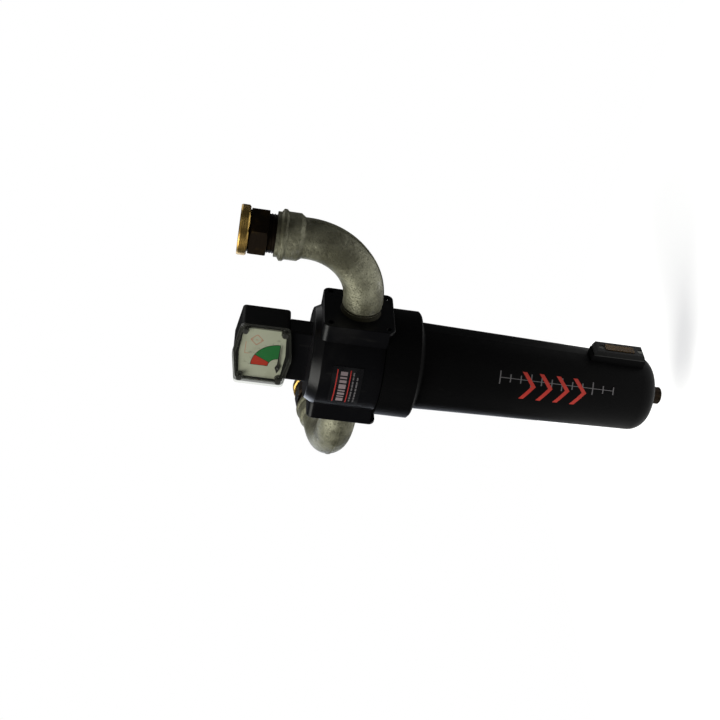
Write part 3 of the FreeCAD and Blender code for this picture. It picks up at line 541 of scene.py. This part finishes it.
class FILTER_OT_finishes(bpy.types.Operator):
    """Give every piece of the frame the finish of its slot"""
    bl_idname = "filter.finishes"
    bl_label = "Finishes"

    def execute(self, context):
        slots = {part["node"]: part["material_slot"] for part in frame["record"]["subparts"]}
        perforations = {"element_core_tube", "element_outer_tube"}
        sheet = perforated("perforated steel").material
        for name, thing in frame["nodes"].items():
            material = sheet if name in perforations else finish(slots[name])
            if thing.material_slots:
                for slot in thing.material_slots:
                    slot.material = material
            else:
                thing.data.materials.append(material)
        return {"FINISHED"}


def dial_wrap():
    """The dial card's flat front: u goes to +X and v up, from the needle's pivot."""
    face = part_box("gauge_dial")[0].y
    pivot = sum(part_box("gauge_spindle"), Vector()) / 2

    def wrap(u, v, height):
        return np.stack([pivot.x + u, face - height, pivot.z + v], -1)
    return wrap


def sector(inner, outer, start, end, cells=(48, 6)):
    """Flat places of a ring sector: radius goes from inner to outer with t, angle from start to end
    with s."""
    def outline(s, t):
        radius, angle = inner + (outer - inner) * t, start + (end - start) * s
        return radius * np.cos(angle), radius * np.sin(angle)
    return outline, cells


def stroke(start, end, width):
    """Flat places of a straight line of a given width, from one point to another."""
    start, end = np.asarray(start, float), np.asarray(end, float)
    way = (end - start) / np.linalg.norm(end - start)
    side = np.array([-way[1], way[0]]) * width

    def outline(s, t):
        return (start[0] + (end - start)[0] * s + side[0] * (t - 0.5),
                start[1] + (end - start)[1] * s + side[1] * (t - 0.5))
    return outline, (max(2, int(np.linalg.norm(end - start) / (2 * MM))), 2)


def print_on(name, outlines, wrap, film, ink, body):
    """One printed piece from several outlines on the same surface."""
    parts = [slab(outline, wrap, film, cells) for outline, cells in outlines]
    points, faces = joined(parts)
    piece = mesh_piece(name, points, facing_out(points, faces), finish(ink), smooth=False)
    return settle(piece, body)


def numeral(text, height, place, wrap, film):
    """A number as thin solid type, laid on a surface through wrap. It is drawn as text, made a mesh
    and merged, then every point (x, y, z) goes to wrap(x, y, z)."""
    curve = bpy.data.curves.new("numeral", "FONT")
    curve.body, curve.size, curve.extrude = text, height, film / 2
    curve.align_x, curve.align_y = "CENTER", "CENTER"
    curve.resolution_u = 3
    holder = bpy.data.objects.new("numeral", curve)
    bpy.context.scene.collection.objects.link(holder)
    mesh = bpy.data.meshes.new_from_object(holder.evaluated_get(bpy.context.evaluated_depsgraph_get()))
    bpy.data.objects.remove(holder)
    count = len(mesh.vertices)
    flat = np.empty(count * 3)
    mesh.vertices.foreach_get("co", flat)
    flat = flat.reshape(-1, 3)
    mesh.vertices.foreach_set("co", wrap(flat[:, 0] + place[0], flat[:, 1] + place[1],
                                         flat[:, 2] + film / 2).ravel())
    return mesh


def type_on(name, numerals, wrap, film, ink, body):
    """Several numerals as one printed piece."""
    gathered = bpy.data.meshes.new(name)
    piece = bpy.data.objects.new(name, gathered)
    bpy.context.scene.collection.objects.link(piece)
    work = bmesh.new()
    for text, height, place in numerals:
        mesh = numeral(text, height, place, wrap, film)
        work.from_mesh(mesh)
        bpy.data.meshes.remove(mesh)
    bmesh.ops.remove_doubles(work, verts=work.verts, dist=1e-6)
    bmesh.ops.recalc_face_normals(work, faces=work.faces)
    work.to_mesh(gathered)
    work.free()
    gathered.materials.append(finish(ink))
    return settle(piece, body)


class FILTER_OT_dial(bpy.types.Operator):
    """Print the dial: a green and a red sector with outlines, ticks, numbers and a plain filter sign"""
    bl_idname = "filter.dial"
    bl_label = "Dial print"

    def execute(self, context):
        p = context.scene.filter_prints
        wrap, film = dial_wrap(), p.film
        line = 0.5 * MM
        body, slot = "filter_head", "dial_print"
        print_on("dial_green_sector", [sector(p.sector_inner, p.sector_outer, p.green_from, p.green_to)],
                 wrap, film, "dial_green", body)
        print_on("dial_red_sector", [sector(p.sector_inner, p.sector_outer, p.green_to, p.red_to)],
                 wrap, film, "dial_red", body)
        edges = [sector(radius - line / 2, radius + line / 2, p.green_from, p.red_to, (72, 2))
                 for radius in (p.sector_inner, p.sector_outer)]
        for angle in (p.green_from, p.green_to, p.red_to):
            way = np.array([math.cos(angle), math.sin(angle)])
            edges.append(stroke(way * p.sector_inner, way * p.sector_outer, line))
        print_on("dial_outline", edges, wrap, film * 1.5, "dial_black", body)
        ticks = []
        for angle in np.linspace(p.green_from, p.red_to, 7):
            way = np.array([math.cos(angle), math.sin(angle)])
            start, end = p.sector_outer + 0.8 * MM, p.sector_outer + 2.2 * MM
            ticks.append(stroke(way * start, way * end, 0.35 * MM))
        print_on("dial_ticks", ticks, wrap, film, "dial_grey", body)
        reach = p.sector_outer + 4.6 * MM
        aside = 0.07
        spots = (("0", p.green_from + aside), ("5", p.green_to), ("7", p.red_to - aside))
        numbers = [(text, 3.6 * MM, (reach * math.cos(angle), reach * math.sin(angle)))
                   for text, angle in spots]
        type_on("dial_numbers", numbers, wrap, film, "dial_grey", body)
        centre, reach = np.array([27.5, 21.5]) * MM, 5.6 * MM
        corners = [centre + np.array(step) * reach for step in ((1, 0), (0, 1), (-1, 0), (0, -1))]
        sign = [stroke(corners[k], corners[(k + 1) % 4], 0.5 * MM) for k in range(4)]
        for start in (-0.85, -0.15, 0.55):
            low, high = (centre + np.array([0, place]) * reach for place in (start, start + 0.3))
            sign.append(stroke(low, high, 0.5 * MM))
        bracket = np.array([[24.5, 30.8], [11.8, 30.8], [11.8, 26.4]]) * MM
        sign += [stroke(bracket[k], bracket[k + 1], 0.4 * MM) for k in range(2)]
        print_on("dial_red_sign", sign, wrap, film, "dial_line_red", body)
        return {"FINISHED"}


def round_wrap(radius):
    """A surface about the Z axis: u is the angle from -Y towards +X, v the height. Radius is a number
    or a function of height."""
    def wrap(u, v, height):
        reach = (radius(v) if callable(radius) else radius) + height
        return np.stack([reach * np.sin(u), -reach * np.cos(u), v], -1)
    return wrap


def patch(start, end, low, high, lean=0.0):
    """Flat places of a rectangle in angle and height, leaning sideways by an angle over its height."""
    def outline(s, t):
        return start + (end - start) * s + lean * t, low + (high - low) * t
    steps = max(2, int(abs(end - start) / math.radians(2.0)))
    return outline, (steps, max(2, int(abs(high - low) / (4 * MM))))


class FILTER_OT_label(bpy.types.Operator):
    """Print the head's label: two red rules, a band of pale stripes and two rows of small bars"""
    bl_idname = "filter.label"
    bl_label = "Label print"

    def execute(self, context):
        film = context.scene.filter_prints.film
        wrap = round_wrap(-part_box("head_label")[0].y)
        a = math.radians
        rules = [patch(a(-24), a(22), 14.2 * MM, 15.2 * MM), patch(a(-24), a(22), 2.6 * MM, 3.4 * MM)]
        print_on("label_red_rules", rules, wrap, film, "label_red", "filter_head")
        bars, start = [], -22.0
        for wide in (6.0, 2.0, 3.4, 2.0, 6.0, 3.4, 2.0, 4.4):
            bars.append(patch(a(start), a(start + wide), 5.6 * MM, 11.8 * MM))
            start += wide + 1.8
        print_on("label_pale_bars", bars, wrap, film, "label_pale", "filter_head")
        small = []
        for row, (count, height) in enumerate(((9, -0.6), (8, -4.2))):
            for number in range(count):
                start = a(-21 + number * 4.6)
                small.append(patch(start, start + a(3.0 + (number * 7 + row * 3) % 3 * 0.5), height * MM,
                                   (height + 1.3) * MM))
        print_on("label_small_bars", small, wrap, film, "label_grey", "filter_head")
        return {"FINISHED"}


class FILTER_OT_bowl_marks(bpy.types.Operator):
    """Print the bowl's marks: a row of red chevrons that point the way the air goes, and a grey scale"""
    bl_idname = "filter.bowl_marks"
    bl_label = "Bowl marks"

    def execute(self, context):
        film = context.scene.filter_prints.film
        mesh = frame["nodes"]["bowl"].data
        spots = np.empty(len(mesh.vertices) * 3)
        mesh.vertices.foreach_get("co", spots)
        spots = spots.reshape(-1, 3)
        away = np.hypot(spots[:, 0], spots[:, 1])
        wide_z, wide_r = fit_cone(spots, away)

        def radius(height):
            return np.interp(-height, -wide_z, wide_r) + 0.02 * MM
        wrap = round_wrap(radius)
        a = math.radians
        chevrons = []
        for number in range(4):
            head = -(0.153 + 0.0158 * number)
            for lean in (1, -1):
                chevrons.append(chevron_arm(a(27), lean * a(19), head, -9.5 * MM, 4.2 * MM))
        print_on("bowl_red_chevrons", chevrons, wrap, film, "bowl_red", "filter_bowl")
        side, top, pitch, last, half_line = 35, -131 * MM, 9.6 * MM, 11, 0.55 * MM
        ticks = []
        for number in range(last + 1):
            reach = 9 if number % 3 == 0 else 5.5
            height = top - number * pitch
            ticks.append(patch(a(side - reach), a(side + reach), height - half_line, height + half_line))
        ticks.append(patch(a(side - 0.5), a(side + 0.5), top - last * pitch, top))
        print_on("bowl_grey_scale", ticks, wrap, film * 0.6, "bowl_grey", "filter_bowl")
        return {"FINISHED"}


def fit_cone(spots, away):
    """Heights and radii of the two rings of points where the bowl's smooth barrel starts and ends."""
    plain = (spots[:, 0] < -0.005) & (spots[:, 1] < -0.005)
    upper = plain & (spots[:, 2] > -0.1) & (away > 0.038)
    lower = plain & (spots[:, 2] < -0.2) & (away > 0.0335)
    rings = []
    for ring_z, chosen in ((spots[upper][:, 2].min(), upper), (spots[lower][:, 2].max(), lower)):
        rings.append((ring_z, away[chosen & (np.abs(spots[:, 2] - ring_z) < 0.1 * MM)].mean()))
    (z0, r0), (z1, r1) = rings
    return np.array([z0, z1]), np.array([r0, r1])


def chevron_arm(middle, reach, head, drop, width):
    """Flat places of one arm of a chevron: from its point at the middle angle, out by reach and down
    by drop, as tall as width."""
    def outline(s, t):
        return middle + reach * s, head + drop * (1 - s) + width * (t - 0.5)
    return outline, (10, 2)


class FILTER_OT_threads(bpy.types.Operator):
    """Cut the pipe threads that show between the fittings"""
    bl_idname = "filter.threads"
    bl_label = "Threads"

    def execute(self, context):
        p = context.scene.filter_threads
        mounts = {mount["name"]: mount for mount in frame["record"]["mounts"]}
        for letter, side, end in (("a", 1.0, "riser_end"), ("b", -1.0, "rear_end")):
            self.cut(f"male_thread_{letter}", MALE_THREAD, p.depth * 0.7, p.pitch, (0, 0, 0),
                     (side, 0, 0), "white_tape")
            self.cut(f"adaptor_thread_{letter}", ADAPTOR_THREAD, p.depth, p.pitch,
                     mounts[end]["pos_m"], mounts[end]["axis"], "dark_brass")
        return {"FINISHED"}

    def cut(self, name, sizes, depth, pitch, origin, axis, slot):
        """One threaded sleeve from its start, end, crest radius and inner radius."""
        start, end, crest, inner = sizes
        points, faces = sleeve(thread(crest, depth, pitch), lambda way, z: 0 * z + inner,
                               start, end, THREAD_TURNS, THREAD_ROWS)
        points = along(points, origin, axis)
        settle(mesh_piece(name, points, facing_out(points, faces), finish(slot)), "filter_head")


class FILTER_OT_element(bpy.types.Operator):
    """Fold the pleated medium and wind the gauge's spring"""
    bl_idname = "filter.element"
    bl_label = "Element"

    def execute(self, context):
        p = context.scene.filter_element
        low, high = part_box("element_media")
        outer, core = high.x - 0.3 * MM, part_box("element_core_tube")[1].x + 0.4 * MM
        wall = 0.45 * MM

        def fold(offset):
            def at(angle, height):
                wave = np.abs(((angle * p.pleats / TAU) % 1.0) * 2 - 1)
                return core + wall + (outer - core - wall) * np.clip(wave * 1.15 - 0.075, 0, 1) + offset
            return at
        points, faces = sleeve(fold(0.0), fold(-wall), low.z + 0.2 * MM, high.z - 0.2 * MM,
                               p.pleats * 12, 6)
        media = mesh_piece("pleated_medium", points, facing_out(points, faces), finish("media"),
                           smooth=False)
        settle(media, "filter_head", ("element_media",))

        low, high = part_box("dp_spring")
        middle = (low + high) / 2
        wire = 0.5 * MM
        reach = (high.z - low.z) / 2 - wire
        turns = p.coils
        step = np.linspace(0, 1, turns * 40 + 1)
        # end coils lie flat: the rise eases in and out
        rise = np.clip((step * turns - 0.9) / (turns - 1.8), 0, 1)
        angle = TAU * turns * step
        path = np.stack([low.x + wire + rise * (high.x - low.x - 2 * wire),
                         middle.y + reach * np.cos(angle), middle.z + reach * np.sin(angle)], -1)
        outward = np.stack([0 * angle, np.cos(angle), np.sin(angle)], -1)
        sideways = np.tile([1.0, 0.0, 0.0], (len(step), 1))
        circle = np.linspace(0, TAU, 12, endpoint=False)
        section = np.stack([np.cos(circle), np.sin(circle)], -1) * wire
        points, faces = swept(section, path, outward, sideways)
        spring = mesh_piece("gauge_spring", points, facing_out(points, faces), finish("stainless"))
        settle(spring, "filter_head", ("dp_spring",))
        travel = next(joint for joint in frame["joints"] if joint["name"] == "piston_shift")["range_m"][1]
        1 - travel / (high.x - low.x)
        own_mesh(spring)
        return {"FINISHED"}


class FILTER_OT_stage(bpy.types.Operator):
    """Lay a plain pale floor, set soft studio lights and place the camera"""
    bl_idname = "filter.stage"
    bl_label = "Stage"

    def execute(self, context):
        p = context.scene.filter_stage
        side = p.floor_side / 2
        level = CAD_BOX[0].z - p.floor_gap
        outline = np.array([[-side, -side], [side, -side], [side, side], [-side, side]])
        points = np.column_stack([outline, np.full(4, level)])
        paint = Paint("pale floor", Roughness=1.0, Specular_IOR_Level=0.0)
        cloud = paint.noise(3.0, 2.0)
        paint.set(Base_Color=cloud.mix((0.93, 0.93, 0.93), (0.90, 0.90, 0.90)),
                  Emission_Color=(1, 1, 1, 1), Emission_Strength=0.62)
        floor = mesh_piece("pale_floor", points, np.array([[0, 1, 2, 3]]), paint.material, smooth=False)

        world = bpy.data.worlds.new("soft surroundings")
        context.scene.world = world
        world.use_nodes = True
        tree = world.node_tree
        back = next(n for n in tree.nodes if n.type == "BACKGROUND")
        start = Wire(tree, None)
        seen = start.node("ShaderNodeLightPath", output="Is Camera Ray")
        tree.links.new((seen * (1.0 - p.sky) + p.sky).socket, back.inputs["Strength"])
        back.inputs["Color"].default_value = (1, 1, 1, 1)

        aim = Vector(p.aim)
        for name, azimuth, elevation, distance, width, height, power, colour in LIGHTS:
            lamp = bpy.data.lights.new(name, "AREA")
            lamp.shape, lamp.size, lamp.size_y = "RECTANGLE", width, height
            lamp.energy, lamp.color = power, colour
            holder = bpy.data.objects.new(name, lamp)
            context.scene.collection.objects.link(holder)
            holder.location = aim + ray_from(azimuth, elevation) * distance
            holder.rotation_euler = (holder.location - aim).to_track_quat("Z", "Y").to_euler()

        camera = bpy.data.cameras.new("camera")
        camera.sensor_width, camera.lens = 36.0, p.lens
        camera.clip_start, camera.clip_end = 0.01, 200.0
        holder = bpy.data.objects.new("camera", camera)
        context.scene.collection.objects.link(holder)
        back_axis = ray_from(math.degrees(p.azimuth), math.degrees(p.elevation))
        right = Vector((0, 0, 1)).cross(back_axis).normalized()
        up = back_axis.cross(right)
        picture_up = up * math.cos(p.roll) + right * math.sin(p.roll)
        picture_right = picture_up.cross(back_axis)
        turned = Matrix((picture_right, picture_up, back_axis)).transposed()
        holder.matrix_world = Matrix.Translation(aim + back_axis * p.distance) @ turned.to_4x4()
        context.scene.camera = holder
        context.scene.view_settings.view_transform = "Standard"
        return {"FINISHED"}


def ray_from(azimuth, elevation):
    """Unit way towards a place round the filter, in degrees: azimuth 0 is -Y and 90 is +X."""
    a, e = math.radians(azimuth), math.radians(elevation)
    return Vector((math.sin(a) * math.cos(e), -math.cos(a) * math.cos(e), math.sin(e)))


# name, azimuth, elevation, distance, width, height, power, colour
LIGHTS = (
    ("key window", -32.0, 42.0, 2.0, 1.5, 1.5, 42.0, (1.0, 1.0, 0.95)),
    ("low rim", -118.0, 4.0, 1.7, 0.8, 1.6, 9.0, (0.82, 0.88, 1.0)),
    ("front fill", 62.0, 30.0, 2.0, 1.6, 1.6, 3.0, (1.0, 0.99, 0.94)),
    ("back fill", 165.0, 30.0, 2.2, 1.6, 1.6, 7.0, (1.0, 1.0, 1.0)),
)


class FILTER_PT_panel(bpy.types.Panel):
    """Lists the steps that finish the filter"""
    bl_idname = "FILTER_PT_panel"
    bl_label = "Compressed air filter"
    bl_space_type = "VIEW_3D"
    bl_region_type = "UI"
    bl_category = "Filter"

    def draw(self, context):
        for operator in OPERATORS:
            self.layout.operator(operator.bl_idname)


GROUPS = {"filter_stage": FILTER_PG_stage, "filter_prints": FILTER_PG_prints,
          "filter_threads": FILTER_PG_threads, "filter_element": FILTER_PG_element}
OPERATORS = (FILTER_OT_finishes, FILTER_OT_dial, FILTER_OT_label, FILTER_OT_bowl_marks,
             FILTER_OT_threads, FILTER_OT_element, FILTER_OT_stage)
CLASSES = tuple(GROUPS.values()) + OPERATORS + (FILTER_PT_panel,)


def register():
    for cls in CLASSES:
        bpy.utils.register_class(cls)
    for name, group in GROUPS.items():
        setattr(bpy.types.Scene, name, bpy.props.PointerProperty(type=group))


def unregister():
    for name in GROUPS:
        delattr(bpy.types.Scene, name)
    for cls in reversed(CLASSES):
        bpy.utils.unregister_class(cls)


def main():
    register()
    for operator in OPERATORS:
        group, name = operator.bl_idname.split(".")
        getattr(getattr(bpy.ops, group), name)()


if __name__ == "__main__":
    main()
